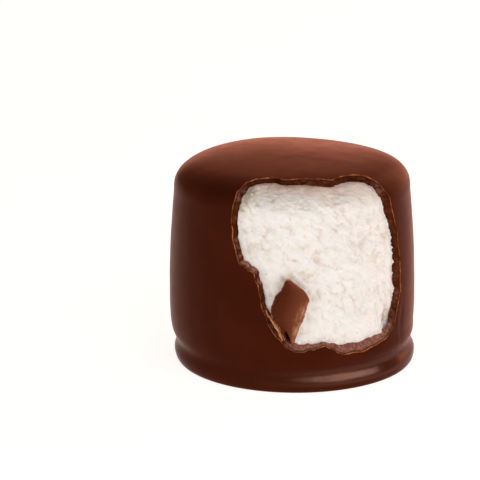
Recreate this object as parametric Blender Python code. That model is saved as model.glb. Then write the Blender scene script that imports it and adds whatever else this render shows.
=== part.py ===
"""A round marshmallow in a chocolate coat, broken open in front so that the white foam shows.

The coat is one shell with a foot where the chocolate ran down and set. A curled flake of the
broken coat rests on the foam in the lower left of the opening. The front is -Y and the table is
z = 0, under the middle of the body.
"""

import math

import bpy
import numpy as np

# Body, in metres
body_radius = 0.0225
body_height = 0.03825
widest_height = 0.0124
shoulder_height = 0.0319
shoulder_narrowing = 0.00094
lower_narrowing = 0.0011
crown_rise = 0.0016
crown_squareness = 7.0
shoulder_roundness = 3.0

# Foot of set chocolate and the groove above it
foot_radius = 0.0220
foot_height = 0.0019
foot_contact_radius = 0.0211
groove_radius = 0.0214
groove_height = 0.0039
groove_width = 0.0013
foot_bulge = 0.00025
foot_bulge_angle = math.radians(50)

# Coat and filling
coat_thickness = 0.0014
base_thickness = 0.0016
filling_gap = 0.0003
filling_corner = 0.0022
filling_rise = 0.0007
filling_rise_width = 0.0022
filling_relief = 0.00022

# Slight unevenness of a poured coat
out_of_round = 0.003
crown_lump = 0.0003
crown_lump_place = (-0.0045, 0.0090)
crown_lump_spread = 0.0080

# Opening, clockwise from its top left as seen from the front. Each row is the distance across
# the front, measured round the widest circle, the distance up the skin from the table, and how
# far the break slopes inward from the outer skin to the inner one.
opening_rows = (
    (-0.0176, 0.0408, 0.0004), (-0.0155, 0.0424, 0.0002), (-0.0123, 0.0432, 0.0002),
    (-0.0074, 0.0427, 0.0003), (-0.0023, 0.0432, 0.0006), (0.0023, 0.0422, 0.0006),
    (0.0050, 0.0414, 0.0003), (0.0064, 0.0421, 0.0003), (0.0116, 0.0418, 0.0003),
    (0.0144, 0.0397, 0.0004), (0.0143, 0.0365, 0.0007), (0.0150, 0.0331, 0.0011),
    (0.0166, 0.0282, 0.0007), (0.0172, 0.0240, 0.0005), (0.0174, 0.0193, 0.0010),
    (0.0173, 0.0159, 0.0005), (0.0159, 0.0121, 0.0003), (0.0143, 0.0091, 0.0005),
    (0.0113, 0.0078, 0.0011), (0.0079, 0.0072, 0.0014), (0.0037, 0.0071, 0.0015),
    (0.0016, 0.0079, 0.0010), (0.0000, 0.0090, 0.0004), (-0.0019, 0.0088, 0.0005),
    (-0.0035, 0.0084, 0.0008), (-0.0055, 0.0082, 0.0012), (-0.0074, 0.0093, 0.0009),
    (-0.0094, 0.0114, 0.0007), (-0.0110, 0.0144, 0.0006), (-0.0119, 0.0180, 0.0005),
    (-0.0127, 0.0209, 0.0005), (-0.0136, 0.0227, 0.0006), (-0.0144, 0.0230, 0.0006),
    (-0.0163, 0.0245, 0.0006), (-0.0170, 0.0265, 0.0005), (-0.0178, 0.0303, 0.0006),
    (-0.0178, 0.0339, 0.0008), (-0.0180, 0.0369, 0.0009), (-0.0179, 0.0390, 0.0008),
)
points_per_row = 3
ragged_depth = 0.00016

# Flake, from its lower tip to its upper tip: distance up the skin, left edge and right edge
flake_rows = (
    (0.0100, -0.0067, -0.0062), (0.0107, -0.0079, -0.0059), (0.0119, -0.0084, -0.0055),
    (0.0132, -0.0089, -0.0051), (0.0140, -0.0096, -0.0047), (0.0147, -0.0104, -0.0044),
    (0.0157, -0.0102, -0.0042), (0.0168, -0.0099, -0.0038), (0.0180, -0.0096, -0.0034),
    (0.0190, -0.0091, -0.0038), (0.0198, -0.0082, -0.0044), (0.0207, -0.0078, -0.0055),
    (0.0213, -0.0076, -0.0064), (0.0217, -0.0073, -0.0068),
)
flake_thickness = 0.0010
flake_curl = 0.0009
flake_left_lift = -0.0001
flake_right_lift = -0.0004
flake_columns = 8

shell_segments = 84
hollow_segments = 44
filling_front = math.radians(53)
filling_front_segments = 44
filling_back_segments = 16


def side_radius(height):
    """Radius of the coat's side, as it would be with no foot."""
    up = max(0.0, (height - widest_height) / (shoulder_height - widest_height))
    down = max(0.0, (widest_height - height) / widest_height)
    return body_radius - shoulder_narrowing * up**2 - lower_narrowing * down**2


def crown_height(share):
    """Height of the crown at a share of the shoulder's radius."""
    drop = body_height - crown_rise - shoulder_height
    edge = 1 - (1 - share**crown_squareness) ** (1 / shoulder_roundness)
    return body_height - crown_rise * share**2 - drop * edge


def skin_line():
    """Radius and height from the table up the side and over the crown to the axis."""
    side = [(side_radius(h), h) for h in np.linspace(0, shoulder_height, 160)]
    shares = [1 - (1 - t) ** 2 for t in np.linspace(1, 0, 320)[1:]]
    reach = body_radius - shoulder_narrowing
    return np.array(side + [(reach * s, crown_height(s)) for s in shares])


skin = skin_line()
skin_steps = np.hypot(*np.diff(skin, axis=0).T)
skin_travel = np.concatenate([[0], np.cumsum(skin_steps)])
skin_slope = np.gradient(skin, skin_travel, axis=0)
crown_travel = skin_travel[-1]


def skin_section(up, depth):
    """Radius and height at a distance up the skin and a depth under it."""
    radius = np.interp(up, skin_travel, skin[:, 0])
    height = np.interp(up, skin_travel, skin[:, 1])
    run = np.interp(up, skin_travel, skin_slope[:, 0])
    rise = np.interp(up, skin_travel, skin_slope[:, 1])
    length = math.hypot(run, rise)
    return radius - depth * rise / length, height + depth * run / length


def settle(radius, angle, height):
    """Place a point of the turned body, with the slight unevenness of the poured coat."""
    low = min(1.0, max(0.0, height / (2 * groove_height)))
    facing = max(0.0, math.cos(angle - foot_bulge_angle))
    wave = math.cos(2 * angle + 0.7) + 0.6 * math.cos(3 * angle - 1.1)
    radius = radius * (1 + out_of_round * wave * low) + foot_bulge * facing**2 * (1 - low)
    x = math.sin(angle) * radius
    y = -math.cos(angle) * radius
    away = math.hypot(x - crown_lump_place[0], y - crown_lump_place[1]) / crown_lump_spread
    top = min(1.0, max(0.0, (height - 0.75 * shoulder_height) / (0.25 * shoulder_height)))
    return x, y, height + crown_lump * top * math.exp(-0.5 * away**2)


def skin_point(across, up, depth):
    """A point at a distance across the front and up the skin, at a depth under it."""
    radius, height = skin_section(up, depth)
    return settle(radius, across / body_radius, height)


def smooth(value):
    """Ease from 0 to 1."""
    value = min(1.0, max(0.0, value))
    return value * value * (3 - 2 * value)


def closed_curve(rows, steps):
    """Points of a smooth closed curve through rows of numbers."""
    rows = np.array(rows)
    before = np.roll(rows, 1, axis=0)
    after = np.roll(rows, -1, axis=0)
    later = np.roll(rows, -2, axis=0)
    points = []
    for a, b, c, d in zip(before, rows, after, later):
        for t in np.arange(steps) / steps:
            bend = 2 * a - 5 * b + 4 * c - d
            twist = 3 * b - a - 3 * c + d
            points.append(b + 0.5 * (t * (c - a) + t**2 * bend + t**3 * twist))
    return np.array(points)


def opening_outline():
    """Outline of the break on the outer skin, its inward directions and its slopes."""
    curve = closed_curve(opening_rows, points_per_row)
    places = curve[:, :2]
    along = np.roll(places, -1, axis=0) - np.roll(places, 1, axis=0)
    inward = np.stack([along[:, 1], -along[:, 0]], axis=1)
    inward = inward / np.linalg.norm(inward, axis=1)[:, None]
    turn = np.linspace(0, 2 * math.pi, len(places), endpoint=False)
    notch = np.sin(29 * turn + 1.3) + 0.7 * np.sin(47 * turn + 0.4) + 0.5 * np.sin(13 * turn)
    places = places + inward * (ragged_depth * 0.6 * notch)[:, None]
    return places, inward, curve[:, 2]


def inside_depth(across, up, outline):
    """Distance from a point to an outline, negative outside it."""
    start = outline
    end = np.roll(outline, -1, axis=0)
    span = end - start
    point = np.array([across, up])
    share = ((point - start) * span).sum(axis=1) / (span**2).sum(axis=1)
    nearest = start + np.clip(share, 0, 1)[:, None] * span
    distance = np.hypot(*(nearest - point).T).min()
    crossing = (start[:, 1] > up) != (end[:, 1] > up)
    reach = start[crossing, 0] + span[crossing, 0] * (up - start[crossing, 1]) / span[crossing, 1]
    return distance if np.count_nonzero(reach > across) % 2 else -distance


def make_object(name, points, faces):
    """Add an object with the given points and faces, shaded smooth."""
    mesh = bpy.data.meshes.new(name)
    mesh.from_pydata([tuple(p) for p in points], [], faces)
    mesh.validate()
    mesh.shade_smooth()
    piece = bpy.data.objects.new(name, mesh)
    bpy.context.collection.objects.link(piece)
    return piece


def stacked_faces(rings, count):
    """Faces between rings of points stacked from the bottom up, each closed in itself."""
    faces = []
    for ring in range(rings - 1):
        for k in range(count):
            near = ring * count + k
            far = ring * count + (k + 1) % count
            faces.append((near, far, far + count, near + count))
    return faces


def turned_object(name, sections, peak):
    """A closed body with a flat base and a peak, from rings of radius, angle and height."""
    count = len(sections[0])
    points = [settle(*place) for section in sections for place in section]
    faces = stacked_faces(len(sections), count)
    last = (len(sections) - 1) * count
    top = len(points)
    points.append(settle(0.0, 0.0, peak))
    for k in range(count):
        faces.append((last + k, last + (k + 1) % count, top))
    faces.append(tuple(range(count))[::-1])
    return make_object(name, points, faces)


def make_material(piece, colour, roughness):
    """Give a piece its own plain material."""
    material = bpy.data.materials.new(piece.name)
    material.use_nodes = True
    shader = material.node_tree.nodes["Principled BSDF"]
    shader.inputs["Base Color"].default_value = (*colour, 1.0)
    shader.inputs["Roughness"].default_value = roughness
    shader.inputs["Metallic"].default_value = 0.0
    piece.data.materials.append(material)


def round_sections(rings, count):
    """Rings of radius and height, each spread evenly round the axis."""
    angles = [2 * math.pi * k / count for k in range(count)]
    return [[(radius, angle, height) for angle in angles] for radius, height in rings]


def coat_radius(height):
    """Radius of the coat's side with its foot and the groove above it."""
    if height < foot_height:
        tuck = 1 - height / foot_height
        return foot_contact_radius + (foot_radius - foot_contact_radius) * math.sqrt(1 - tuck**2)
    if height < groove_height:
        share = smooth((height - foot_height) / (groove_height - foot_height))
        return foot_radius + (groove_radius - foot_radius) * share
    pinch = side_radius(groove_height) - groove_radius
    return side_radius(height) - pinch * math.exp(-(((height - groove_height) / groove_width) ** 2))


def coat_body():
    """The whole coated shape, solid."""
    low = [foot_height * (1 - math.cos(a)) for a in np.linspace(0, math.pi / 2, 6)]
    groove = list(np.linspace(foot_height, groove_height, 5)[1:])
    above = [groove_height + step for step in (0.0005, 0.0010, 0.0016, 0.0024, 0.0036)]
    side = list(np.linspace(0.0092, shoulder_height, 10))
    shares = (0.9995, 0.996, 0.986, 0.970, 0.948, 0.92, 0.885, 0.84, 0.78, 0.69, 0.56, 0.38, 0.19)
    reach = body_radius - shoulder_narrowing
    rings = [(coat_radius(h), h) for h in low + groove + above + side]
    rings += [(reach * s, crown_height(s)) for s in shares]
    return turned_object("chocolate_shell", round_sections(rings, shell_segments), body_height)


def inner_corner(depth):
    """Rings of the rounded lower edge of a body at a depth under the skin."""
    floor = base_thickness + depth - coat_thickness
    wall = side_radius(floor) - depth
    turns = [(1 - math.sin(a), 1 - math.cos(a)) for a in np.linspace(0, math.pi / 2, 4)[:-1]]
    return [(wall - filling_corner * tuck, floor + filling_corner * lift) for tuck, lift in turns]


def hollow_body():
    """What the coat leaves free inside, a little larger than the filling."""
    ups = list(np.linspace(base_thickness + filling_corner, 0.0300, 8))
    ups += list(np.linspace(0.0318, 0.0400, 8)) + [0.0440, 0.0500]
    rings = inner_corner(coat_thickness) + [skin_section(up, coat_thickness) for up in ups]
    sections = round_sections(rings, hollow_segments)
    return turned_object("cut_hollow", sections, body_height - coat_thickness)


def opening_cutter():
    """The removed piece of the coat: walls that follow the break, closed outside and inside."""
    places, inward, slope = opening_outline()
    depths = (-0.0012, 0.0, 0.45 * coat_thickness, coat_thickness, 1.5 * coat_thickness)
    points = []
    for depth in depths:
        share = depth / coat_thickness
        for place, way, width in zip(places, inward, slope):
            across, up = place + way * width * share
            points.append(skin_point(across, up, depth))
    count = len(places)
    faces = []
    for ring in range(len(depths) - 1):
        for k in range(count):
            near = ring * count + k
            far = ring * count + (k + 1) % count
            faces.append((near, far, far + count, near + count))
    outside = len(points)
    points.append((0.0, -0.060, 0.045))
    inside = len(points)
    points.append((0.0, 0.0, 0.5 * body_height))
    last = (len(depths) - 1) * count
    for k in range(count):
        following = (k + 1) % count
        faces.append((following, k, outside))
        faces.append((last + k, last + following, inside))
    return make_object("cut_opening", points, faces)


def cut(piece, cutter):
    """Take the cutter's shape out of a piece and hide the cutter."""
    step = piece.modifiers.new(cutter.name, "BOOLEAN")
    step.operation = "DIFFERENCE"
    step.solver = "EXACT"
    step.object = cutter
    cutter.hide_render = True
    cutter.display_type = "WIRE"


def make_shell():
    """The chocolate coat with its foot, hollow, and broken open in front."""
    shell = coat_body()
    cut(shell, hollow_body())
    cut(shell, opening_cutter())
    make_material(shell, (0.055, 0.017, 0.009), 0.35)


def torn_relief(across, up):
    """Height of the torn foam's tufts at a place in the opening."""
    lean = 0.8 * across + 0.6 * up
    cross = 0.6 * across - 0.8 * up
    tufts = math.sin(2 * math.pi * lean / 0.0043 + 2.2 * math.sin(cross / 0.0021))
    lumps = math.sin(2 * math.pi * cross / 0.0061 + 1.7 * math.sin(lean / 0.0027 + 0.6))
    return filling_relief * (0.6 * tufts + 0.4 * lumps)


def filling_lift(across, up, inner):
    """How far the foam stands up towards the opening, none where the coat covers it."""
    if abs(across) > 0.4 * math.pi * body_radius:
        return 0.0
    share = smooth((inside_depth(across, up, inner) - filling_gap) / filling_rise_width)
    return share * (filling_rise + torn_relief(across, up))


def make_filling():
    """The white foam, filling the coat and standing a little proud inside the opening."""
    depth = coat_thickness + filling_gap
    places, inward, slope = opening_outline()
    inner = places + inward * slope[:, None]
    front = list(np.linspace(-filling_front, filling_front, filling_front_segments + 1))
    back = np.linspace(filling_front, 2 * math.pi - filling_front, filling_back_segments + 1)
    angles = front + list(back[1:-1])
    sections = [[(radius, a, height) for a in angles] for radius, height in inner_corner(depth)]
    low = base_thickness + filling_gap + filling_corner
    for up in [low, 0.0062] + list(np.linspace(0.0080, 0.0440, 31)) + [0.0470, 0.0510]:
        lifts = [filling_lift(angle * body_radius, up, inner) for angle in angles]
        places = [skin_section(up, depth - lift) for lift in lifts]
        sections.append([(radius, a, height) for a, (radius, height) in zip(angles, places)])
    filling = turned_object("marshmallow", sections, body_height - depth)
    make_material(filling, (0.86, 0.83, 0.78), 0.85)


def make_flake():
    """A curled flake of the coat, resting on the foam."""
    rings = []
    for up, left, right in flake_rows:
        width = right - left
        curl = flake_curl * (width / 0.006) ** 2
        under = []
        over = []
        for k in range(flake_columns + 1):
            share = k / flake_columns
            across = left + width * share
            rise = flake_left_lift + (flake_right_lift - flake_left_lift) * share
            rise += curl * 4 * share * (1 - share)
            lean = (share - 0.5) * 0.0004
            under.append(skin_point(across, up, -rise))
            over.append(skin_point(across + lean, up, -(rise + flake_thickness)))
        rings.append(under + over[::-1])
    count = len(rings[0])
    points = [point for ring in rings for point in ring]
    faces = [face[::-1] for face in stacked_faces(len(rings), count)]
    last = (len(rings) - 1) * count
    for k in range(flake_columns):
        end = (k, k + 1, count - 2 - k, count - 1 - k)
        faces.append(end)
        faces.append(tuple(last + index for index in end[::-1]))
    flake = make_object("chocolate_flake", points, faces)
    make_material(flake, (0.075, 0.024, 0.012), 0.4)


for old in list(bpy.data.objects):
    bpy.data.objects.remove(old, do_unlink=True)

make_shell()
make_filling()
make_flake()
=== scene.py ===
"""A chocolate covered marshmallow, broken open in front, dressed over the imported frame.

The coat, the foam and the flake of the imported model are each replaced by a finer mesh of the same
form. The front is -Y, the table is z = 0, and all sizes are metres. Where a row stands for noise,
it gives the noise's height, the size of its lumps and its seed.
"""

import itertools
import math

import bpy
import numpy as np
from mathutils import Matrix, Vector
from mathutils.kdtree import KDTree


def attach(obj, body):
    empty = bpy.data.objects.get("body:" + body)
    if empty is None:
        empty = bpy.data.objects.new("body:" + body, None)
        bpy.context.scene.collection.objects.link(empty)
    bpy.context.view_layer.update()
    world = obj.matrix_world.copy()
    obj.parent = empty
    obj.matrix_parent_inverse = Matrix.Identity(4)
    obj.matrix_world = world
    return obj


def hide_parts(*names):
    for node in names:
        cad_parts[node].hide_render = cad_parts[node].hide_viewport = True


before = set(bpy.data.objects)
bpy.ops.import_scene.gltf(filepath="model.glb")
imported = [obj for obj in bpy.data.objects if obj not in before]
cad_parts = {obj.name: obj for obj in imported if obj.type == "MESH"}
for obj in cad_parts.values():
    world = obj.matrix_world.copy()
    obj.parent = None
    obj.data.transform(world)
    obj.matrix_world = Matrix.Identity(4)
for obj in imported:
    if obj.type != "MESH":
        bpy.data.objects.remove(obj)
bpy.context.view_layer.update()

# Body
body_radius = 0.0225
body_height = 0.03825
widest_height = 0.0124
shoulder_height = 0.0319
shoulder_narrowing = 0.00094
lower_narrowing = 0.0011
crown_rise = 0.0016
crown_squareness = 7.0
shoulder_roundness = 3.0

# Foot of set chocolate and the groove above it
foot_radius = 0.0220
foot_height = 0.0019
foot_contact_radius = 0.0211
groove_radius = 0.0214
groove_height = 0.0039
groove_width = 0.0013
groove_gap = 0.75
groove_gap_angle = math.radians(-50)
groove_gap_width = math.radians(32)
foot_bulge = 0.00025
foot_bulge_angle = math.radians(50)
foot_front_height = 0.0013
foot_front_angle = math.radians(10)
foot_front_width = math.radians(40)
foot_shift = 0.0004
foot_shift_angle = math.radians(74)

# Coat and filling
coat_thickness = 0.0014
base_thickness = 0.0016
filling_corner = 0.0022
filling_rise = 0.0005
filling_rise_width = 0.0022
filling_cover = 0.00006

# Unevenness of a poured coat. Each lump of the crown is its place, its rise and its spread. The
# waves move the skin away from a centre, and fade out at the base.
out_of_round = 0.003
crown_lumps = (
    (-0.0045, 0.0090, 0.0003, 0.0080), (0.0084, 0.0110, -0.0003, 0.0050),
    (0.0200, -0.0017, 0.00025, 0.0040),
)
coat_waves = ((0.00004, 0.009, 11), (0.000016, 0.0036, 12))
wave_centre = 0.55 * body_height
wave_fade = (0.0002, 0.0017)

# Slight upright folds of the coat at the low right
fold_depth = 0.00006
fold_spacing = 0.0024
fold_wander = 0.003
fold_stretch = 0.45
fold_across = 0.0180
fold_half_width = 0.0020
fold_height = 0.0100
fold_half_height = 0.0035

# Meshes of the coat and of its hollow: the coat's rings lie closest below a height
coat_turns = 320
close_rings_top = 0.0092
hollow_turns = 96
hollow_side_top = 0.0300
hollow_shoulder = (0.0312, 0.0420)
hollow_crown = (0.0450, 0.0480, 0.0510)

# Opening, clockwise from its top left as seen from the front. Each row is the distance across
# the front, measured round the widest circle, the distance up the skin from the table, and how
# far the break slopes inward from the outer skin to the inner one.
opening_rows = (
    (-0.0176, 0.0408, 0.0004), (-0.0155, 0.0424, 0.0002), (-0.0123, 0.0432, 0.0002),
    (-0.0074, 0.0427, 0.0003), (-0.0023, 0.0432, 0.0006), (0.0023, 0.0422, 0.0006),
    (0.0050, 0.0414, 0.0003), (0.0064, 0.0421, 0.0003), (0.0116, 0.0418, 0.0003),
    (0.0142, 0.0404, 0.0004), (0.0147, 0.0382, 0.0005), (0.0144, 0.0360, 0.0008),
    (0.0151, 0.0331, 0.0011), (0.0166, 0.0282, 0.0007), (0.0172, 0.0240, 0.0005),
    (0.0174, 0.0193, 0.0010), (0.0173, 0.0159, 0.0005), (0.0159, 0.0121, 0.0003),
    (0.0143, 0.0091, 0.0005), (0.0113, 0.0078, 0.0011), (0.0079, 0.0072, 0.0014),
    (0.0037, 0.0071, 0.0015), (0.0016, 0.0079, 0.0010), (0.0000, 0.0090, 0.0004),
    (-0.0019, 0.0088, 0.0005), (-0.0035, 0.0084, 0.0008), (-0.0055, 0.0082, 0.0012),
    (-0.0074, 0.0093, 0.0009), (-0.0094, 0.0114, 0.0007), (-0.0110, 0.0144, 0.0006),
    (-0.0119, 0.0180, 0.0005), (-0.0127, 0.0209, 0.0005), (-0.0136, 0.0227, 0.0006),
    (-0.0144, 0.0230, 0.0006), (-0.0163, 0.0245, 0.0006), (-0.0170, 0.0265, 0.0005),
    (-0.0178, 0.0303, 0.0006), (-0.0178, 0.0339, 0.0008), (-0.0180, 0.0369, 0.0009),
    (-0.0179, 0.0390, 0.0008),
)
ragged_depth = 0.00016
outline_noise = ((0.00005, 0.0005, 4), (0.00003, 0.00023, 5))
outline_steps = 16

# Broken edge: depths of its rings under the skin, which of them lie on the outer and on the inner
# skin, its bevelled lip, and the grain on it
edge_depths = (
    -0.0012, -0.0003, -0.00005, 0.0, 0.00008, 0.00016, 0.00028, 0.00042, 0.00056, 0.00070,
    0.00084, 0.00098, 0.00112, 0.00126, 0.00140, 0.00156, 0.0018, 0.0021,
)
outer_ring = 3
inner_ring = 14
lip_bevel = 0.00014
edge_noise = ((0.00010, 0.0011, 21), (0.00006, 0.00042, 22))

# Pits of the foam: distance across and up, half width, half height and depth
foam_pits = (
    (0.0142, 0.0119, 0.0011, 0.0024, 0.0016), (-0.0104, 0.0132, 0.0007, 0.0009, 0.0016),
    (-0.0094, 0.0116, 0.0008, 0.0010, 0.0016),
)

# Puffs of the foam: length, width, height and seed, with their slant at left and at right and
# the noise that bends them. They turn upright over a range across, and calm down over one up.
foam_puffs = ((0.0028, 0.0014, 0.00034, 36), (0.0012, 0.0007, 0.00018, 37))
puff_slant_left = math.radians(-40)
puff_slant_right = math.radians(-75)
puff_bends = ((0.0003, 0.0011, 31), (0.0008, 0.0040, 51))
upright_across = (0.002, 0.012)
calm_up = (0.0370, 0.0390)

# Noise of the foam: broad lumps, ripples between the puffs, and a fine grain
foam_lumps = ((0.00022, 0.0052, 33), (0.00014, 0.0024, 34))
foam_ripples = ((0.00010, 0.0010, 35),)
foam_grain = ((0.00005, 0.00045, 38),)

# Edge of the foam: how far it covers the foot of the broken edge, most at the top left, where it
# ends, and its crumbs, which are low and at right
lip_cover = 0.00032
least_cover = 0.00010
cover_across = (-0.006, 0.006)
cover_up = (0.020, 0.032)
edge_reach = 0.00025
edge_width = 0.00045
edge_roughness = ((0.00018, 0.0009, 39),)
foam_crumbs = ((0.00060, 0.0006, 53),)
crumbs_across = (-0.012, -0.002)
crumbs_up = (0.028, 0.034)

# Mesh of the foam: its columns and rows lie closest in the opening
foam_pitch = 0.00015
foam_columns = (-0.0200, 0.0194)
foam_low_rows = (0.0046, 0.0054)
foam_fine_rows = (0.0060, 0.0456)
foam_high_rows = (0.0470, 0.0490, 0.0510, 0.0530)

# Painted shade on the foam: how dark its creases and pits are painted, and the painted shade in its
# upper left corner beside the rim
painted_shade_level = 0.23
painted_shade_by_puffs = 2700
painted_shade_by_lumps = 600
painted_shade_by_pits = 470
painted_corner_shade = 1.15
painted_corner_shade_width = 0.0030
corner_across = (-0.004, 0.008)
corner_up = (0.030, 0.038)

# Flake, from its lower tip to its upper tip: distance up the skin, left edge and right edge
flake_rows = (
    (0.0100, -0.0067, -0.0062), (0.0107, -0.0079, -0.0059), (0.0119, -0.0084, -0.0055),
    (0.0132, -0.0089, -0.0051), (0.0140, -0.0096, -0.0047), (0.0147, -0.0101, -0.0044),
    (0.0157, -0.0100, -0.0042), (0.0168, -0.0097, -0.0038), (0.0180, -0.0093, -0.0034),
    (0.0190, -0.0089, -0.0038), (0.0198, -0.0081, -0.0044), (0.0207, -0.0077, -0.0055),
    (0.0213, -0.0076, -0.0064), (0.0217, -0.0073, -0.0068),
)
flake_columns = 48
flake_walls = 8
flake_thickness = 0.0010
flake_curl = 0.0009
flake_left_lift = -0.0001
flake_right_lift = -0.0004
flake_lean = 0.0003
flake_rags = ((0.00010, 0.0008, 41), (0.00005, 0.0003, 43))
flake_waves = ((0.00005, 0.0020, 42), (0.00002, 0.0007, 44))

# The flake's open left edge, with the ranges over which it begins and ends, and its worn parts:
# a rim, and a patch low at right
open_edge_reach = 0.00055
open_edge_low = (0.0100, 0.0110)
open_edge_high = (0.0150, 0.0166)
worn_rim = 0.00014
worn_share = (0.62, 0.92)
worn_up = (0.0148, 0.0188)

# Notch at the flake's lower end
notch_place = (-0.0072, 0.0113)
notch_slant = 0.39
notch_half_width = 0.00030
notch_half_length = 0.0010
notch_depth = 0.0010

# Splinter along the flake's left edge: distances up and across and its half width
splinter_rows = (
    (0.0161, -0.0108, 0.00008), (0.0153, -0.0106, 0.00018), (0.0146, -0.0100, 0.00022),
    (0.0137, -0.0094, 0.00026), (0.0125, -0.0087, 0.00028), (0.0115, -0.0083, 0.00022),
    (0.0106, -0.0080, 0.00010),
)
splinter_height = 0.0006
splinter_sway = ((0.00006, 0.0006, 45),)
splinter_swell = ((0.35, 0.0004, 46),)

# Photograph: camera direction, distance, lens, and where the axis passes the body's middle
camera_azimuth = math.radians(-16)
camera_elevation = 0.3078
camera_distance = 0.6
camera_target = Vector((0, 0, 0.016))
camera_lens = 245.4
camera_aside = -0.00958
camera_above = 0.00577
camera_roll = -0.0041

# Gloss of the skin, and of the foot, strongest on its upper side at the front right
skin_gloss = 0.018
foot_glosses = (0.026, 0.038, 0.055, 0.08, 0.12, 0.17, 0.24, 0.33, 0.45, 0.60)
foot_gloss_angle = math.radians(11)
foot_gloss_width = math.radians(26)
foot_gloss_rise = (0.0009, 0.0019)
foot_gloss_fall = (0.0032, 0.0046)
foot_smooth_share = 0.70
foot_smooth_fade = (0.0036, 0.0062)
skin_tint = (1.0, 0.45, 0.28)
foot_tint = (1.0, 0.54, 0.40)

# Lights: name, azimuth, elevation, distance, width, height, power and colour
lights = (
    ("key", 122, 18, 0.60, 0.50, 0.50, 3.2, (1.0, 0.40, 0.23)),
    ("fill", 40, 14, 0.70, 0.74, 0.06, 1.20, (1.0, 0.98, 0.96)),
    ("front", -6, 14, 0.70, 0.42, 0.06, 0.65, (1.0, 0.98, 0.96)),
    ("side", -62, 12, 0.70, 0.50, 0.20, 1.15, (1.0, 0.97, 0.94)),
    ("top", 5, 62, 0.70, 0.40, 0.30, 0.8, (1.0, 0.97, 0.94)),
)

# Window behind the body: the way that its left edge, its upper edge and its middle face, each
# with the range over which it fades in
window_left = ((0.861, 0.067, -0.504), -0.01, 0.07)
window_upper = ((0, 0, -1), -0.72, -0.50)
window_middle = ((0.10, 0.995, 0), 0.80, 1.02)
window_colour = (3.7, 1.45, 0.98, 1.0)
surroundings_colour = (0.15, 0.110, 0.090, 1.0)


def ripple(points, size, seed):
    """Smooth noise from about -1 to 1 at points, with lumps of the given size."""
    chance = np.random.default_rng(seed)
    order = chance.permutation(256)
    order = np.concatenate([order, order])
    ways = chance.normal(size=(256, 3))
    ways /= np.linalg.norm(ways, axis=1)[:, None]
    spot = np.asarray(points, dtype=float) / size
    cell = np.floor(spot).astype(int)
    inside = spot - cell
    ease = inside**3 * (inside * (inside * 6 - 15) + 10)
    total = np.zeros(len(spot))
    for corner in itertools.product((0, 1), repeat=3):
        corner = np.array(corner)
        place = (cell + corner) & 255
        pick = order[order[order[place[:, 0]] + place[:, 1]] + place[:, 2]]
        pull = (ways[pick] * (inside - corner)).sum(axis=1)
        total += pull * np.where(corner, ease, 1 - ease).prod(axis=1)
    return 1.7 * total


def noise(points, rows):
    """Noise at points, as the sum of rows of height, size and seed."""
    return sum(height * ripple(points, size, seed) for height, size, seed in rows)


def smooth(value):
    """Ease from 0 to 1."""
    value = np.clip(value, 0, 1)
    return value * value * (3 - 2 * value)


def smooth_between(value, low, high):
    """Ease from 0 to 1 as a value goes from low to high."""
    return smooth((value - low) / (high - low))


# Shape of the skin


def side_radius(height):
    """Radius of the coat's side, as it would be with no foot."""
    up = np.maximum(0.0, (height - widest_height) / (shoulder_height - widest_height))
    down = np.maximum(0.0, (widest_height - height) / widest_height)
    return body_radius - shoulder_narrowing * up**2 - lower_narrowing * down**2


def crown_height(share):
    """Height of the crown at a share of the shoulder's radius."""
    drop = body_height - crown_rise - shoulder_height
    edge = 1 - (1 - share**crown_squareness) ** (1 / shoulder_roundness)
    return body_height - crown_rise * share**2 - drop * edge


def skin_line():
    """Radius and height from the table up the side and over the crown to the axis."""
    side = [(side_radius(h), h) for h in np.linspace(0, shoulder_height, 160)]
    shares = [1 - (1 - t) ** 2 for t in np.linspace(1, 0, 320)[1:]]
    reach = body_radius - shoulder_narrowing
    return np.array(side + [(reach * s, crown_height(s)) for s in shares])


skin = skin_line()
skin_steps = np.hypot(*np.diff(skin, axis=0).T)
skin_travel = np.concatenate([[0], np.cumsum(skin_steps)])
skin_slope = np.gradient(skin, skin_travel, axis=0)


def skin_section(up, depth):
    """Radius and height at distances up the skin and depths under it."""
    radius = np.interp(up, skin_travel, skin[:, 0])
    height = np.interp(up, skin_travel, skin[:, 1])
    run = np.interp(up, skin_travel, skin_slope[:, 0])
    rise = np.interp(up, skin_travel, skin_slope[:, 1])
    length = np.hypot(run, rise)
    return radius - depth * rise / length, height + depth * run / length


def settle(radius, angle, height):
    """Places of the turned body, with the slight unevenness of the poured coat."""
    low = np.clip(height / (2 * groove_height), 0, 1)
    facing = np.maximum(0.0, np.cos(angle - foot_bulge_angle))
    wave = np.cos(2 * angle + 0.7) + 0.6 * np.cos(3 * angle - 1.1)
    radius = radius * (1 + out_of_round * wave * low) + foot_bulge * facing**2 * (1 - low)
    x = np.sin(angle) * radius + foot_shift * math.sin(foot_shift_angle) * (1 - low)
    y = -np.cos(angle) * radius - foot_shift * math.cos(foot_shift_angle) * (1 - low)
    top = np.clip((height - 0.75 * shoulder_height) / (0.25 * shoulder_height), 0, 1)
    for place_x, place_y, rise, spread in crown_lumps:
        away = np.hypot(x - place_x, y - place_y) / spread
        height = height + rise * top * np.exp(-0.5 * away**2)
    return np.stack([x, y, height], axis=-1)


def skin_point(across, up, depth):
    """Points at distances across the front and up the skin, at depths under it."""
    radius, height = skin_section(up, depth)
    return settle(radius, across / body_radius, height)


def groove_share(angle):
    """How much of the groove there is round the body: little at the front left."""
    turn = (angle - groove_gap_angle + math.pi) % (2 * math.pi) - math.pi
    return 1 - groove_gap * np.exp(-((turn / groove_gap_width) ** 2))


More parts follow.
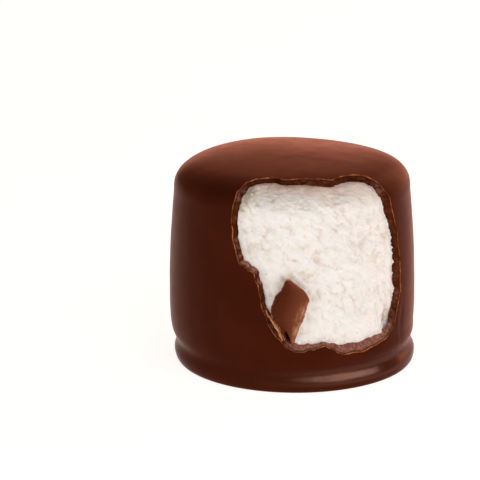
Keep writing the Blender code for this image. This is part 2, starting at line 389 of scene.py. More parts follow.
def coat_radius(height, angle):
    """Radius of the coat's side with its foot, which is lower in front, and the groove above."""
    turn = (angle - foot_front_angle + math.pi) % (2 * math.pi) - math.pi
    front = np.exp(-((turn / foot_front_width) ** 4))
    top = foot_height + (foot_front_height - foot_height) * front
    groove = groove_radius + (1 - groove_share(angle)) * (side_radius(groove_height) - groove_radius)
    tuck = np.clip(1 - height / top, 0, 1)
    foot = foot_contact_radius + (foot_radius - foot_contact_radius) * np.sqrt(1 - tuck**2)
    foot = foot + (groove - foot_radius) * smooth((height - top) / (groove_height - top))
    pinch = side_radius(groove_height) - groove
    side = side_radius(height) - pinch * np.exp(-(((height - groove_height) / groove_width) ** 2))
    return np.where(height < groove_height, foot, side)


# Outline of the opening


def closed_curve(rows, steps):
    """Points of a smooth closed curve through rows of numbers."""
    rows = np.array(rows)
    before = np.roll(rows, 1, axis=0)
    after = np.roll(rows, -1, axis=0)
    later = np.roll(rows, -2, axis=0)
    points = []
    for a, b, c, d in zip(before, rows, after, later):
        for t in np.arange(steps) / steps:
            bend = 2 * a - 5 * b + 4 * c - d
            twist = 3 * b - a - 3 * c + d
            points.append(b + 0.5 * (t * (c - a) + t**2 * bend + t**3 * twist))
    return np.array(points)


def opening_outline():
    """Outline of the break on the outer skin, its inward directions and its slopes."""
    curve = closed_curve(opening_rows, outline_steps)
    places = curve[:, :2]
    along = np.roll(places, -1, axis=0) - np.roll(places, 1, axis=0)
    inward = np.stack([along[:, 1], -along[:, 0]], axis=1)
    inward = inward / np.linalg.norm(inward, axis=1)[:, None]
    turn = np.linspace(0, 2 * math.pi, len(places), endpoint=False)
    notch = np.sin(29 * turn + 1.3) + 0.7 * np.sin(47 * turn + 0.4) + 0.5 * np.sin(13 * turn)
    spots = np.stack([places[:, 0], places[:, 1], 0 * turn], axis=1)
    rag = ragged_depth * 0.6 * notch + noise(spots, outline_noise)
    places = places + inward * rag[:, None]
    return places, inward, curve[:, 2]


def inside_depth(points, outline):
    """Distances from points to an outline, negative outside it."""
    start = outline
    end = np.roll(outline, -1, axis=0)
    span = end - start
    length = (span**2).sum(axis=1)
    result = np.empty(len(points))
    for first in range(0, len(points), 4000):
        part = points[first:first + 4000]
        reach = part[:, None, :] - start[None, :, :]
        share = np.clip((reach * span).sum(axis=2) / length, 0, 1)
        gap = np.sqrt(((reach - share[:, :, None] * span) ** 2).sum(axis=2)).min(axis=1)
        up = part[:, 1][:, None]
        crossing = (start[:, 1] > up) != (end[:, 1] > up)
        rise = np.where(span[:, 1] == 0, 1.0, span[:, 1])
        at = start[:, 0] + span[:, 0] * (up - start[:, 1]) / rise
        odd = (crossing & (at > part[:, 0][:, None])).sum(axis=1) % 2
        result[first:first + 4000] = np.where(odd == 1, gap, -gap)
    return result


# Meshes


def make_object(name, points, faces):
    """Add an object with the given points and faces, shaded smooth."""
    mesh = bpy.data.meshes.new(name)
    mesh.from_pydata([tuple(p) for p in points], [], faces)
    mesh.validate()
    mesh.shade_smooth()
    piece = bpy.data.objects.new(name, mesh)
    bpy.context.collection.objects.link(piece)
    return piece


def stacked_faces(rings, count):
    """Faces between rings of points stacked from the bottom up, each closed in itself."""
    faces = []
    for ring in range(rings - 1):
        for k in range(count):
            near = ring * count + k
            far = ring * count + (k + 1) % count
            faces.append((near, far, far + count, near + count))
    return faces


def closed_body(name, rings, peak):
    """A closed body from rings of points stacked upward, with a flat base and a peak."""
    count = len(rings[0])
    points = np.concatenate(list(rings) + [np.array([peak])])
    faces = stacked_faces(len(rings), count)
    last = (len(rings) - 1) * count
    for k in range(count):
        faces.append((last + k, last + (k + 1) % count, len(points) - 1))
    faces.append(tuple(range(count))[::-1])
    return make_object(name, points, faces)


def finished_mesh(piece):
    """Turn a piece's modifiers into its own mesh."""
    graph = bpy.context.evaluated_depsgraph_get()
    mesh = bpy.data.meshes.new_from_object(piece.evaluated_get(graph))
    piece.modifiers.clear()
    piece.data = mesh
    mesh.name = piece.name
    return mesh


def mark_points(mesh, name, values):
    """Store one number at each point of a mesh."""
    layer = mesh.attributes.new(name, "FLOAT", "POINT")
    layer.data.foreach_set("value", np.asarray(values, dtype=np.float32))


# Coat


def coat_unevenness(points):
    """How far the poured coat stands out or in at each point."""
    tall = points * np.array([1.0, 1.0, fold_stretch])
    across = np.arctan2(points[:, 0], -points[:, 1]) * body_radius
    beside = np.exp(-(((across - fold_across) / fold_half_width) ** 2))
    beside *= np.exp(-(((points[:, 2] - fold_height) / fold_half_height) ** 2))
    turn = 2 * math.pi * across / fold_spacing + 3 * ripple(tall, fold_wander, 13)
    return noise(points, coat_waves) + fold_depth * beside * np.sin(turn)


def coat_outside():
    """The whole coated shape, solid."""
    angles = np.linspace(0, 2 * math.pi, coat_turns, endpoint=False)
    low = foot_height * (1 - np.cos(np.linspace(0, math.pi / 2, 10)))
    middle = np.linspace(foot_height, close_rings_top, 22)[1:]
    side = np.linspace(close_rings_top, shoulder_height, 46)[1:]
    reach = body_radius - shoulder_narrowing
    shares = 1 - np.linspace(0, 1, 62)[1:-1] ** 1.7
    rings = [(coat_radius(h, angles), h) for h in np.concatenate([low, middle, side])]
    rings += [(np.full(coat_turns, reach * s), float(crown_height(s))) for s in shares]
    rows = []
    for radius, height in rings:
        points = settle(radius, angles, np.full(coat_turns, height))
        out = points - np.array([0, 0, wave_centre])
        out /= np.linalg.norm(out, axis=1)[:, None]
        fade = smooth_between(height, *wave_fade)
        rows.append(points + out * (fade * coat_unevenness(points))[:, None])
    peak = settle(0.0, 0.0, body_height)
    return closed_body("coat", rows, peak)


def inner_corner(depth):
    """Rings of the rounded lower edge of a body at a depth under the skin."""
    floor = base_thickness + depth - coat_thickness
    wall = side_radius(floor) - depth
    turns = [(1 - math.sin(a), 1 - math.cos(a)) for a in np.linspace(0, math.pi / 2, 4)[:-1]]
    return [(wall - filling_corner * tuck, floor + filling_corner * lift) for tuck, lift in turns]


def hollow_inside():
    """What the coat leaves free inside."""
    angles = np.linspace(0, 2 * math.pi, hollow_turns, endpoint=False)
    ups = list(np.linspace(base_thickness + filling_corner, hollow_side_top, 16))
    ups += list(np.linspace(*hollow_shoulder, 19)) + list(hollow_crown)
    rings = inner_corner(coat_thickness)
    rings += [skin_section(up, coat_thickness) for up in ups]
    rows = [settle(np.full(hollow_turns, r), angles, np.full(hollow_turns, h)) for r, h in rings]
    return closed_body("cut_hollow", rows, settle(0.0, 0.0, body_height - coat_thickness))


def opening_cutter():
    """The removed piece of the coat, with the grain of the broken edge on its walls."""
    places, inward, slope = opening_outline()
    count = len(places)
    points = []
    for depth in edge_depths:
        share = depth / coat_thickness
        bevel = lip_bevel * np.clip(1 - depth / lip_bevel, 0, 1)
        spots = np.stack([places[:, 0], places[:, 1], np.full(count, depth)], axis=1)
        grain = noise(spots, edge_noise) * smooth(share / 0.15)
        step = slope * share - bevel + grain
        spot = places + inward * step[:, None]
        points.append(skin_point(spot[:, 0], spot[:, 1], np.full(count, depth)))
    rows = np.concatenate(points)
    faces = stacked_faces(len(edge_depths), count)
    outside = len(rows)
    inside = outside + 1
    rows = np.concatenate([rows, [(0.0, -0.060, 0.045)], [(0.0, 0.0, 0.5 * body_height)]])
    last = (len(edge_depths) - 1) * count
    for k in range(count):
        following = (k + 1) % count
        faces.append((following, k, outside))
        faces.append((last + k, last + following, inside))
    return make_object("cut_opening", rows, faces), points[outer_ring], points[inner_ring]


def cut(piece, cutter):
    """Take the cutter's shape out of a piece."""
    step = piece.modifiers.new(cutter.name, "BOOLEAN")
    step.operation = "DIFFERENCE"
    step.solver = "EXACT"
    step.material_mode = "TRANSFER"
    step.object = cutter
    cutter.hide_render = True


def distance_to(mesh, places):
    """Distance from each point of a mesh to the nearest of some places."""
    tree = KDTree(len(places))
    for index, place in enumerate(places):
        tree.insert(place, index)
    tree.balance()
    return [tree.find(vertex.co)[2] for vertex in mesh.vertices]


def gloss_foot(mesh, smooth_side, foot_sides):
    """Give the foot its glossier skin, in fine steps."""
    levels = np.array((skin_gloss,) + foot_glosses)
    smooth_slot = list(mesh.materials).index(smooth_side)
    first = len(mesh.materials)
    for side in foot_sides:
        mesh.materials.append(side)
    for polygon in mesh.polygons:
        x, y, z = polygon.center
        if polygon.material_index != smooth_slot or z > groove_height + groove_width:
            continue
        turn = (math.atan2(x, -y) - foot_gloss_angle + math.pi) % (2 * math.pi) - math.pi
        share = smooth_between(z, *foot_gloss_rise) * (1 - smooth_between(z, *foot_gloss_fall))
        share = share * math.exp(-((turn / foot_gloss_width) ** 2))
        level = skin_gloss + (foot_glosses[-1] - skin_gloss) * share
        step = int(np.argmin(np.abs(levels - level)))
        if step:
            polygon.material_index = first + step - 1


def make_coat(smooth_side, broken_side, foot_sides):
    """The chocolate coat with its foot, hollow, and broken open in front."""
    coat = coat_outside()
    coat.data.materials.append(smooth_side)
    hollow = hollow_inside()
    hollow.data.materials.append(smooth_side)
    opening, outer, inner = opening_cutter()
    opening.data.materials.append(broken_side)
    cut(coat, hollow)
    cut(coat, opening)
    mesh = finished_mesh(coat)
    bpy.data.objects.remove(hollow)
    bpy.data.objects.remove(opening)
    gloss_foot(mesh, smooth_side, foot_sides)
    mark_points(mesh, "lip", distance_to(mesh, outer))
    mark_points(mesh, "inner_lip", distance_to(mesh, inner))
    mesh.shade_smooth()
    mesh.set_sharp_from_angle(angle=math.radians(38))
    return coat


# Foam


def puffs(across, up, turn, long, wide, seed):
    """Rounded puffs packed side by side, drawn out along a direction, from 0 to about 1."""
    chance = np.random.default_rng(seed)
    along = (across * math.cos(turn) + up * math.sin(turn)) / long
    aside = (up * math.cos(turn) - across * math.sin(turn)) / wide
    shift = chance.uniform(0, 1, (256, 256, 2))
    lift = chance.uniform(0.6, 1.0, (256, 256))
    cell_x = np.floor(along).astype(int)
    cell_y = np.floor(aside).astype(int)
    best = np.zeros(len(along))
    for dx, dy in itertools.product((-1, 0, 1), repeat=2):
        x = (cell_x + dx) & 255
        y = (cell_y + dy) & 255
        far = (cell_x + dx + shift[x, y, 0] - along) ** 2
        far = far + (cell_y + dy + shift[x, y, 1] - aside) ** 2
        best = np.maximum(best, lift[x, y] * np.exp(-1.7 * far))
    return best


def foam_relief(across, up):
    """Broad lumps and fine puffs of the torn foam, in metres."""
    spots = np.stack([across, up, 0 * up], axis=1)
    other_bends = [(high, size, seed + 1) for high, size, seed in puff_bends]
    x = across + noise(spots, puff_bends)
    y = up + noise(spots + 0.05, other_bends)
    right = smooth_between(across, *upright_across)
    fine = noise(np.stack([x, y, 0 * x], axis=1), foam_ripples)
    for long, wide, high, seed in foam_puffs:
        slanting = puffs(x, y, puff_slant_left, long, wide, seed)
        upright = puffs(x, y, puff_slant_right, long, wide, seed + 10)
        fine = fine + high * ((1 - right) * slanting + right * upright - 0.55)
    fine = fine + noise(spots, foam_grain)
    return noise(spots, foam_lumps), fine * (1 - 0.5 * smooth_between(up, *calm_up))


def lip_lift(across, up):
    """How far the foam covers the foot of the broken edge: most at the top left."""
    left = 1 - smooth_between(across, *cover_across)
    high = smooth_between(up, *cover_up)
    return lip_cover * left * high + least_cover


def crumb_lift(spots, across, up, share):
    """Height of the crumbs along the foam's low and right edges."""
    low = 1 - smooth_between(up, *crumbs_up)
    right = smooth_between(across, *crumbs_across)
    return np.maximum(0, noise(spots, foam_crumbs)) * (1 - share) * low * right


def pit_depth(across, up):
    """How deep the pits are at places on the foam."""
    depth = 0.0
    for pit_across, pit_up, wide, tall, deep in foam_pits:
        away = ((across - pit_across) / wide) ** 2 + ((up - pit_up) / tall) ** 2
        depth = depth + deep * np.exp(-away)
    return depth


def foam_row(angles, up, inner):
    """One row of the foam at a distance up the skin, and its painted shade in creases, pits and
    corner.
    """
    across = angles * body_radius
    high = np.full(len(angles), up)
    gap = inside_depth(np.stack([across, high], axis=1), inner)
    gap[np.abs(across) > 0.021] = -1.0
    lumps, fine = foam_relief(across, high)
    spots = np.stack([across, high, 0 * high], axis=1)
    edge = smooth((gap + edge_reach + noise(spots, edge_roughness)) / edge_width)
    share = smooth(gap / filling_rise_width)
    sunk = pit_depth(across, up)
    lift = edge * (lip_lift(across, up) + 0.8 * fine + crumb_lift(spots, across, up, share))
    lift = lift + share * (filling_rise + lumps) - sunk
    radius, height = skin_section(high, coat_thickness - filling_cover - lift)
    # Painted shade: the foam darkens beside the rim at upper left, between its puffs, in its hollows
    # and in its pits
    shade = painted_corner_shade * np.exp(-((gap / painted_corner_shade_width) ** 2))
    shade = shade * smooth_between(up, *corner_up) * (1 - smooth_between(across, *corner_across))
    shade = shade + painted_shade_level - painted_shade_by_puffs * fine
    shade = shade - painted_shade_by_lumps * lumps + painted_shade_by_pits * sunk
    return settle(radius, angles, height), edge * np.clip(shade, 0, 1)


def make_foam(material):
    """The white foam, filling the coat and torn inside the opening."""
    places, inward, slope = opening_outline()
    inner = (places + inward * slope[:, None])[::4]
    front = np.arange(*foam_columns, foam_pitch) / body_radius
    back = np.linspace(front[-1], front[0] + 2 * math.pi, 26)[1:-1]
    angles = np.concatenate([front, back])
    count = len(angles)
    cover = coat_thickness - filling_cover
    rows = []
    creases = []
    for radius, height in inner_corner(cover):
        rows.append(settle(np.full(count, radius), angles, np.full(count, height)))
        creases.append(np.zeros(count))
    ups = [base_thickness + filling_corner, *foam_low_rows]
    ups += [*np.arange(*foam_fine_rows, foam_pitch), *foam_high_rows]
    for up in ups:
        row, painted_crease_shade = foam_row(angles, up, inner)
        rows.append(row)
        creases.append(painted_crease_shade)
    foam = closed_body("foam", rows, settle(0.0, 0.0, body_height - cover))
    # The foam's painted shade is stored on its points for its material
    mark_points(foam.data, "painted_crease_shade", np.append(np.concatenate(creases), 0.0))
    foam.data.materials.append(material)
    return foam


# Flake


def flake_edges(up):
    """Left and right edges of the flake at a distance up the skin, with their ragged outline."""
    rows = np.array(flake_rows)
    left = np.interp(up, rows[:, 0], rows[:, 1])
    right = np.interp(up, rows[:, 0], rows[:, 2])
    rag = np.array([[left, up, 0.0], [right, up, 0.01]])
    rough = noise(rag, flake_rags)
    return left + rough[0], right + rough[1]


def flake_rings():
    """Rings of points up the flake, with how far each lies across it and how worn it is."""
    share = np.linspace(0, 1, flake_columns + 1)
    side_shares = np.linspace(0, 1, flake_walls + 1)[1:-1]
    flat = np.zeros(len(side_shares))
    rings = []
    asides = []
    wears = []
    notches = []
    for up in np.linspace(flake_rows[0][0], flake_rows[-1][0], 100):
        left, right = flake_edges(up)
        width = right - left
        across = left + width * share
        high = np.full(flake_columns + 1, up)
        spots = np.stack([across, high, 0 * high], axis=1)
        rise = flake_left_lift + (flake_right_lift - flake_left_lift) * share
        rise = rise + flake_curl * (width / 0.006) ** 2 * 4 * share * (1 - share)
        rise = rise + noise(spots, flake_waves)
        open_edge = smooth_between(up, *open_edge_low) * (1 - smooth_between(up, *open_edge_high))
        lean = (share - 0.5) * flake_lean + open_edge_reach * open_edge * (1 - share) ** 3
        along = up - notch_place[1]
        slit = across - notch_place[0] + notch_slant * along
        notch = np.exp(-((slit / notch_half_width) ** 2) - (along / notch_half_length) ** 2)
        top = rise + flake_thickness - notch_depth * notch
        under = skin_point(across, high, -rise)
        over = skin_point(across + lean, high, -top)
        right_wall = [under[-1] + (over[-1] - under[-1]) * t for t in side_shares]
        left_wall = [over[0] + (under[0] - over[0]) * t for t in side_shares]
        rings.append(np.array(list(under) + right_wall + list(over[::-1]) + left_wall))
        asides.append(np.concatenate([share, flat + 1, share[::-1], flat]))
        low_right = smooth_between(share, *worn_share) * (1 - smooth_between(up, *worn_up))
        edge = np.exp(-((np.minimum(share, 1 - share) * width / worn_rim) ** 2))
        wear = np.maximum(low_right, 0.8 * edge)
        wears.append(np.concatenate([wear, flat + 1, wear[::-1], flat + 1]))
        notches.append(np.concatenate([notch, flat, notch[::-1], flat]))
    return rings, [np.concatenate(rows) for rows in (asides, wears, notches)]


def splinter_rings():
    """Rings of the thin splinter that stands out along the flake's left edge."""
    rows = np.array(splinter_rows)
    ups = np.linspace(rows[0, 0], rows[-1, 0], 70)
    turns = np.linspace(0, 2 * math.pi, 14, endpoint=False)
    rings = []
    for up in ups:
        centre = np.interp(-up, -rows[:, 0], rows[:, 1])
        half = np.interp(-up, -rows[:, 0], rows[:, 2])
        spot = np.array([[centre, up, 0.02]])
        centre = centre + noise(spot, splinter_sway)[0]
        half = half * (1 + noise(spot, splinter_swell)[0])
        across = centre + half * np.cos(turns)
        out = splinter_height + 1.6 * half * np.sin(turns)
        rings.append(skin_point(across, np.full(len(turns), up), -out))
    return rings


def make_flake(smooth_side, broken_side):
    """A curled flake of the coat, resting on the foam, with a splinter on its left edge."""
    rings, marks = flake_rings()
    count = len(rings[0])
    faces = [face[::-1] for face in stacked_faces(len(rings), count)]
    last = (len(rings) - 1) * count
    faces.append(tuple(range(count)))
    faces.append(tuple(range(last, last + count))[::-1])
    wall = set(range(flake_columns, flake_columns + flake_walls))
    wall |= set(range(count - flake_walls, count))
    broken = [number >= len(faces) - 2 or number % count in wall for number in range(len(faces))]
    splinter = splinter_rings()
    first = len(rings) * count
    around = len(splinter[0])
    last = first + (len(splinter) - 1) * around
    more = [tuple(first + k for k in face) for face in stacked_faces(len(splinter), around)]
    more.append(tuple(range(first, first + around))[::-1])
    more.append(tuple(range(last, last + around)))
    flake = make_object("flake", np.concatenate(rings + splinter), faces + more)
    flake.data.materials.append(smooth_side)
    flake.data.materials.append(broken_side)
    for polygon, rough in zip(flake.data.polygons, broken + [True] * len(more)):
        polygon.material_index = int(rough)
    extra = len(splinter) * around
    for name, values in zip(("aside", "worn", "notch"), marks):
        mark_points(flake.data, name, np.append(values, np.zeros(extra)))
    flake.data.set_sharp_from_angle(angle=math.radians(38))
    return flake


# Materials


def new_material(name):
    """An empty material with its shader, and a function that adds nodes to it."""
    material = bpy.data.materials.new(name)
    material.use_nodes = True
    tree = material.node_tree
    shader = tree.nodes["Principled BSDF"]

    def add(kind, **values):
        node = tree.nodes.new(kind)
        for key, value in values.items():
            setattr(node, key, value)
        return node

    return material, tree, shader, add


def noise_node(tree, add, scale, detail, rough=0.5, stretch=None, slant=0.0):
    """Noise on the object's own coordinates: lumps per metre, drawn out along X, Y and Z."""
    place = add("ShaderNodeTexCoord")
    vector = place.outputs["Object"]
    if stretch:
        mapping = add("ShaderNodeMapping", vector_type="TEXTURE")
        mapping.inputs["Rotation"].default_value = (0.0, slant, 0.0)
        mapping.inputs["Scale"].default_value = stretch
        tree.links.new(vector, mapping.inputs["Vector"])
        vector = mapping.outputs["Vector"]
    node = add("ShaderNodeTexNoise")
    node.inputs["Scale"].default_value = scale
    node.inputs["Detail"].default_value = detail
    node.inputs["Roughness"].default_value = rough
    tree.links.new(vector, node.inputs["Vector"])
    return node


def ramp_node(tree, add, source, stops):
    """A colour ramp fed by a value: stops are (place, colour)."""
    node = add("ShaderNodeValToRGB")
    ramp = node.color_ramp
    while len(ramp.elements) < len(stops):
        ramp.elements.new(0.5)
    for element, (place, colour) in zip(ramp.elements, stops):
        element.position = place
        element.color = (*colour, 1.0)
    tree.links.new(source, node.inputs["Fac"])
    return node


def bump_chain(tree, add, shader, steps):
    """Bumps of (source, distance in metres) laid over each other."""
    last = None
    for source, distance in steps:
        bump = add("ShaderNodeBump")
        bump.inputs["Distance"].default_value = distance
        bump.inputs["Strength"].default_value = 1.0
        tree.links.new(source, bump.inputs["Height"])
        if last:
            tree.links.new(last.outputs["Normal"], bump.inputs["Normal"])
        last = bump
    tree.links.new(last.outputs["Normal"], shader.inputs["Normal"])


def map_range(tree, add, source, low, high, to_low, to_high):
    """A value moved from one range to another."""
    node = add("ShaderNodeMapRange")
    node.inputs["From Min"].default_value = low
    node.inputs["From Max"].default_value = high
    node.inputs["To Min"].default_value = to_low
    node.inputs["To Max"].default_value = to_high
    tree.links.new(source, node.inputs["Value"])
    return node.outputs["Result"]


def math_node(tree, add, operation, first, second):
    """Two values put through one operation."""
    node = add("ShaderNodeMath", operation=operation)
    tree.links.new(first, node.inputs[0])
    tree.links.new(second, node.inputs[1])
    return node.outputs[0]


def mix_node(tree, add, share, first, second):
    """A colour that goes from the first to the second, which may be plain, with a share."""
    node = add("ShaderNodeMix", data_type="RGBA")
    tree.links.new(share, node.inputs[0])
    tree.links.new(first, node.inputs[6])
    if isinstance(second, tuple):
        node.inputs[7].default_value = second
    else:
        tree.links.new(second, node.inputs[7])
    return node.outputs[2]


def chocolate_material(name, level, tint):
    """Set chocolate with a satin skin, glossier at its foot, that mirrors at a given level."""
    material, tree, shader, add = new_material(name)
    broad = noise_node(tree, add, 130, 3)
    colour = ramp_node(tree, add, broad.outputs["Fac"], (
        (0.30, (0.044, 0.0074, 0.0026)), (0.52, (0.050, 0.0086, 0.0031)),
        (0.72, (0.057, 0.0100, 0.0038))))
    tree.links.new(colour.outputs["Color"], shader.inputs["Base Color"])
    haze = noise_node(tree, add, 420, 4)
    rough = map_range(tree, add, haze.outputs["Fac"], 0.3, 0.7, 0.28, 0.36)
    height = add("ShaderNodeSeparateXYZ")
    tree.links.new(add("ShaderNodeTexCoord").outputs["Object"], height.inputs[0])
    foot = map_range(tree, add, height.outputs["Z"], *foot_smooth_fade, foot_smooth_share, 1.0)
    tree.links.new(math_node(tree, add, "MULTIPLY", rough, foot), shader.inputs["Roughness"])
    fine = noise_node(tree, add, 2600, 3)
    soft = noise_node(tree, add, 260, 2)
    bump_chain(tree, add, shader, ((soft.outputs["Fac"], 0.00003),
                                   (fine.outputs["Fac"], 0.000003)))
    shader.inputs["Specular IOR Level"].default_value = level
    shader.inputs["Specular Tint"].default_value = (*tint, 1.0)
    shader.inputs["Sheen Weight"].default_value = 0.25
    shader.inputs["Sheen Roughness"].default_value = 0.35
    shader.inputs["Sheen Tint"].default_value = (1.0, 0.28, 0.12, 1.0)
    return material


def flake_material():
    """The flake's skin: painted shade at left, painted light at right, worn to a tan grain at its
    right edge.
    """
    material, tree, shader, add = new_material("flake_chocolate")
    # Painted light and shade: the colour runs from dark at the flake's left to pale at its right, as
    # light falls across its curl
    aside = add("ShaderNodeAttribute", attribute_name="aside")
    colour = ramp_node(tree, add, aside.outputs["Fac"], (
        (0.0, (0.060, 0.0100, 0.0030)), (0.35, (0.085, 0.0165, 0.0055)),
        (0.70, (0.140, 0.0340, 0.0160)), (1.0, (0.185, 0.0500, 0.0240))))
    grain = noise_node(tree, add, 1500, 4, 0.65, (1.0, 1.0, 3.0))
    tan = ramp_node(tree, add, grain.outputs["Fac"], (
        (0.32, (0.170, 0.0480, 0.0200)), (0.52, (0.330, 0.1250, 0.0600)),
        (0.72, (0.620, 0.3300, 0.1900))))
    worn = add("ShaderNodeAttribute", attribute_name="worn")
    patch = map_range(tree, add, grain.outputs["Fac"], 0.30, 0.60, 0.25, 1.0)
    share = math_node(tree, add, "MULTIPLY", worn.outputs["Fac"], patch)
    skin = mix_node(tree, add, share, colour.outputs["Color"], tan.outputs["Color"])
    # Painted shadow: the notch is painted near black, as a dark gap
    notch = add("ShaderNodeAttribute", attribute_name="notch")
    inside = map_range(tree, add, notch.outputs["Fac"], 0.25, 0.65, 0.0, 1.0)
    notch_painted_shadow = mix_node(tree, add, inside, skin, (0.008, 0.0020, 0.0010, 1.0))
    tree.links.new(notch_painted_shadow, shader.inputs["Base Color"])
    shader.inputs["Roughness"].default_value = 0.50
    shader.inputs["Specular IOR Level"].default_value = 0.10
    shader.inputs["Specular Tint"].default_value = (1.0, 0.55, 0.38, 1.0)
    streaks = noise_node(tree, add, 700, 3, 0.6, (1.0, 1.0, 4.0))
    bump_chain(tree, add, shader, ((streaks.outputs["Fac"], 0.00008),
                                   (grain.outputs["Fac"], 0.00004)))
    return material


def broken_material():
    """The coat's broken edge: dull and grainy, a chipped tan line along both lips, painted light and
    shade.
    """
    material, tree, shader, add = new_material("broken_chocolate")
    grain = noise_node(tree, add, 900, 5, 0.65)
    inside = ramp_node(tree, add, grain.outputs["Fac"], (
        (0.30, (0.038, 0.0075, 0.0024)), (0.50, (0.080, 0.0170, 0.0060)),
        (0.72, (0.160, 0.0480, 0.0230))))
    patch = noise_node(tree, add, 700, 4, 0.6)
    tan = ramp_node(tree, add, patch.outputs["Fac"], (
        (0.34, (0.110, 0.0230, 0.0060)), (0.50, (0.350, 0.0980, 0.0270)),
        (0.66, (0.620, 0.2500, 0.0950))))
    outer = add("ShaderNodeAttribute", attribute_name="lip")
    inner = add("ShaderNodeAttribute", attribute_name="inner_lip")
    near_outer = map_range(tree, add, outer.outputs["Fac"], 0.00010, 0.00026, 1.0, 0.0)
    near_inner = map_range(tree, add, inner.outputs["Fac"], 0.00006, 0.00020, 0.45, 0.0)
    broad = noise_node(tree, add, 260, 3, 0.6)
    chipped = map_range(tree, add, broad.outputs["Fac"], 0.36, 0.60, 0.30, 1.0)
    uneven = math_node(tree, add, "MULTIPLY", near_outer, chipped)
    near = math_node(tree, add, "MAXIMUM", uneven, near_inner)
    # The comb grain is the break's own; its paler colour on upward faces is painted light from above
    comb = noise_node(tree, add, 2300, 3, 0.6, (1.0, 9.0, 1.0))
    comb_grain_and_painted_light = ramp_node(tree, add, comb.outputs["Fac"], (
        (0.32, (0.180, 0.0640, 0.0430)), (0.52, (0.320, 0.1400, 0.1050)),
        (0.74, (0.500, 0.2700, 0.2150))))
    facing = add("ShaderNodeSeparateXYZ")
    tree.links.new(add("ShaderNodeNewGeometry").outputs["Normal"], facing.inputs[0])
    upward = map_range(tree, add, facing.outputs["Z"], 0.25, 0.75, 0.0, 0.9)
    wall = mix_node(tree, add, upward, inside.outputs["Color"], comb_grain_and_painted_light.outputs["Color"])
    # Painted shade: a dark band just inside the outer lip
    beside = map_range(tree, add, outer.outputs["Fac"], 0.00030, 0.00052, 0.75, 0.0)
    shaded = mix_node(tree, add, beside, wall, (0.030, 0.0080, 0.0040, 1.0))
    lined = mix_node(tree, add, near, shaded, tan.outputs["Color"])
    tree.links.new(lined, shader.inputs["Base Color"])
    shader.inputs["Roughness"].default_value = 0.55
    shader.inputs["Specular IOR Level"].default_value = 0.01
    shader.inputs["Specular Tint"].default_value = (1.0, 0.60, 0.45, 1.0)
    crumbs = noise_node(tree, add, 3200, 4, 0.7)
    bump_chain(tree, add, shader, ((grain.outputs["Fac"], 0.00010),
                                   (crumbs.outputs["Fac"], 0.00004)))
    return material


def chipped_material():
    """The flake's broken edge, pale tan and dry."""
    material, tree, shader, add = new_material("chipped_chocolate")
    grain = noise_node(tree, add, 1100, 5, 0.65)
    colour = ramp_node(tree, add, grain.outputs["Fac"], (
        (0.30, (0.250, 0.0850, 0.0320)), (0.50, (0.480, 0.2050, 0.0850)),
        (0.70, (0.680, 0.3700, 0.1900))))
    tree.links.new(colour.outputs["Color"], shader.inputs["Base Color"])
    shader.inputs["Roughness"].default_value = 0.75
    shader.inputs["Specular IOR Level"].default_value = 0.15
    crumbs = noise_node(tree, add, 3200, 4, 0.7)
    bump_chain(tree, add, shader, ((grain.outputs["Fac"], 0.00010),
                                   (crumbs.outputs["Fac"], 0.00004)))
    return material


def foam_material():
    """Torn marshmallow foam: soft, warm white, full of tiny air cells, with painted shade in its
    hollows.
    """
    material, tree, shader, add = new_material("marshmallow_foam")
    # Painted shade: the foam's white darkens to warm grey in its creases, pits and upper left corner
    layer = add("ShaderNodeAttribute", attribute_name="painted_crease_shade")
    tone = ramp_node(tree, add, layer.outputs["Fac"], (
        (0.0, (0.905, 0.887, 0.860)), (0.33, (0.872, 0.843, 0.806)), (0.67, (0.760, 0.695, 0.620)),
        (1.0, (0.620, 0.540, 0.455))))
    # Painted shade: beige dots stand for the shade in tiny pits of the foam
    pit_shade_specks = noise_node(tree, add, 1500, 2, 0.5)
    spot = map_range(tree, add, pit_shade_specks.outputs["Fac"], 0.66, 0.74, 0.0, 0.55)
    painted_pit_shade = mix_node(tree, add, spot, tone.outputs["Color"], (0.66, 0.55, 0.42, 1.0))
    tree.links.new(painted_pit_shade, shader.inputs["Base Color"])
    shader.inputs["Roughness"].default_value = 0.92
    shader.inputs["Specular IOR Level"].default_value = 0.15
    shader.inputs["Subsurface Weight"].default_value = 0.35
    shader.inputs["Subsurface Radius"].default_value = (1.0, 0.70, 0.50)
    shader.inputs["Subsurface Scale"].default_value = 0.0003
    cells = noise_node(tree, add, 2600, 4, 0.7)
    fluff = noise_node(tree, add, 1300, 3, 0.55, (2.8, 1.0, 1.0), math.radians(38))
    bump_chain(tree, add, shader, ((fluff.outputs["Fac"], 0.00042),
                                   (cells.outputs["Fac"], 0.00012)))
    return material


def floor_material():
    """Plain white table."""
    material, tree, shader, add = new_material("table")
    shader.inputs["Base Color"].default_value = (0.35, 0.35, 0.35, 1.0)
    shader.inputs["Roughness"].default_value = 0.9
    shader.inputs["Specular IOR Level"].default_value = 0.0
    shader.inputs["Emission Color"].default_value = (1.0, 0.98, 0.96, 1.0)
    shader.inputs["Emission Strength"].default_value = 0.90
    return material


# Table, light and camera


def make_floor():
    """A large plain table top."""
    reach = 4.0
    corners = [(-reach, -reach, 0), (reach, -reach, 0), (reach, reach, 0), (-reach, reach, 0)]
    floor = make_object("floor", corners, [(0, 1, 2, 3)])
    floor.data.materials.append(floor_material())
    return floor


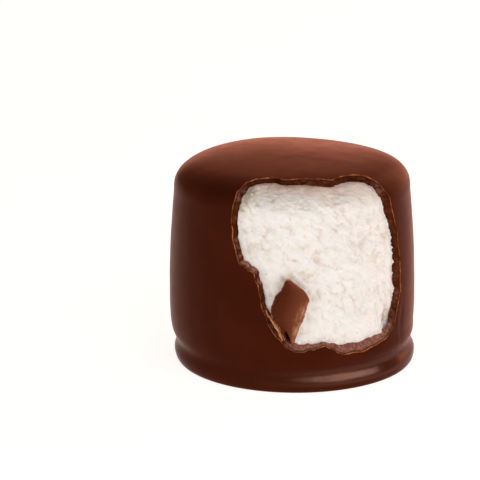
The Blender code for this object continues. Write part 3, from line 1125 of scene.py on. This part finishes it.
def add_light(name, azimuth, elevation, distance, width, height, power, colour):
    """A large soft light that looks at the body."""
    data = bpy.data.lights.new(name, "AREA")
    data.shape = "RECTANGLE"
    data.size = width
    data.size_y = height
    data.energy = power
    data.color = colour
    light = bpy.data.objects.new(name, data)
    a = math.radians(azimuth)
    e = math.radians(elevation)
    way = Vector((math.sin(a) * math.cos(e), -math.cos(a) * math.cos(e), math.sin(e)))
    light.location = camera_target + way * distance
    light.rotation_mode = "QUATERNION"
    light.rotation_quaternion = way.to_track_quat("Z", "Y")
    bpy.context.collection.objects.link(light)


def facing_share(tree, direction, way, low, high):
    """A value that rises from 0 to 1 as a direction turns towards a given way."""
    dot = tree.nodes.new("ShaderNodeVectorMath")
    dot.operation = "DOT_PRODUCT"
    dot.inputs[1].default_value = way
    tree.links.new(direction, dot.inputs[0])
    span = tree.nodes.new("ShaderNodeMapRange")
    span.interpolation_type = "SMOOTHSTEP"
    span.inputs["From Min"].default_value = low
    span.inputs["From Max"].default_value = high
    tree.links.new(dot.outputs["Value"], span.inputs["Value"])
    return span.outputs["Result"]


def make_world():
    """Dim soft surroundings with a broad warm window behind the body at right."""
    world = bpy.data.worlds.new("surroundings")
    bpy.context.scene.world = world
    world.use_nodes = True
    tree = world.node_tree
    background = tree.nodes["Background"]
    place = tree.nodes.new("ShaderNodeTexCoord").outputs["Generated"]
    beside = facing_share(tree, place, *window_left)
    below = facing_share(tree, place, *window_upper)
    behind = facing_share(tree, place, *window_middle)
    window = tree.nodes.new("ShaderNodeMath")
    window.operation = "MULTIPLY"
    tree.links.new(beside, window.inputs[0])
    tree.links.new(below, window.inputs[1])
    share = tree.nodes.new("ShaderNodeMath")
    share.operation = "MULTIPLY"
    tree.links.new(window.outputs[0], share.inputs[0])
    tree.links.new(behind, share.inputs[1])
    mix = tree.nodes.new("ShaderNodeMix")
    mix.data_type = "RGBA"
    mix.inputs[6].default_value = surroundings_colour
    mix.inputs[7].default_value = window_colour
    tree.links.new(share.outputs[0], mix.inputs[0])
    tree.links.new(mix.outputs[2], background.inputs["Color"])


def make_camera():
    """The photograph's camera."""
    data = bpy.data.cameras.new("camera")
    camera = bpy.data.objects.new("camera", data)
    bpy.context.collection.objects.link(camera)
    bpy.context.scene.camera = camera
    data.lens = camera_lens
    data.sensor_width = 36.0
    data.clip_start = 0.05
    data.clip_end = 20.0
    a = camera_azimuth
    e = camera_elevation
    back = Vector((math.sin(a) * math.cos(e), -math.cos(a) * math.cos(e), math.sin(e)))
    right = Vector((math.cos(a), math.sin(a), 0))
    above = back.cross(right)
    camera.location = camera_target + back * camera_distance
    aim = camera_target + right * camera_aside + above * camera_above
    look = (camera.location - aim).normalized()
    turn = look.to_track_quat("Z", "Y").to_matrix()
    roll = Matrix.Rotation(camera_roll, 3, "Z")
    camera.rotation_mode = "QUATERNION"
    camera.rotation_quaternion = (turn @ roll).to_quaternion()


smooth_chocolate = chocolate_material("smooth_chocolate", skin_gloss, skin_tint)
foot_chocolates = [chocolate_material(f"foot_chocolate_{number}", level, foot_tint)
                   for number, level in enumerate(foot_glosses)]
broken_chocolate = broken_material()

coat = make_coat(smooth_chocolate, broken_chocolate, foot_chocolates)
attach(coat, "root")
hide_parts("chocolate_shell")

foam = make_foam(foam_material())
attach(foam, "root")
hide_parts("marshmallow")

flake = make_flake(flake_material(), chipped_material())
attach(flake, "root")
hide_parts("chocolate_flake")

make_floor()
for light in lights:
    add_light(*light)
make_world()
make_camera()
bpy.context.scene.view_settings.view_transform = "Standard"
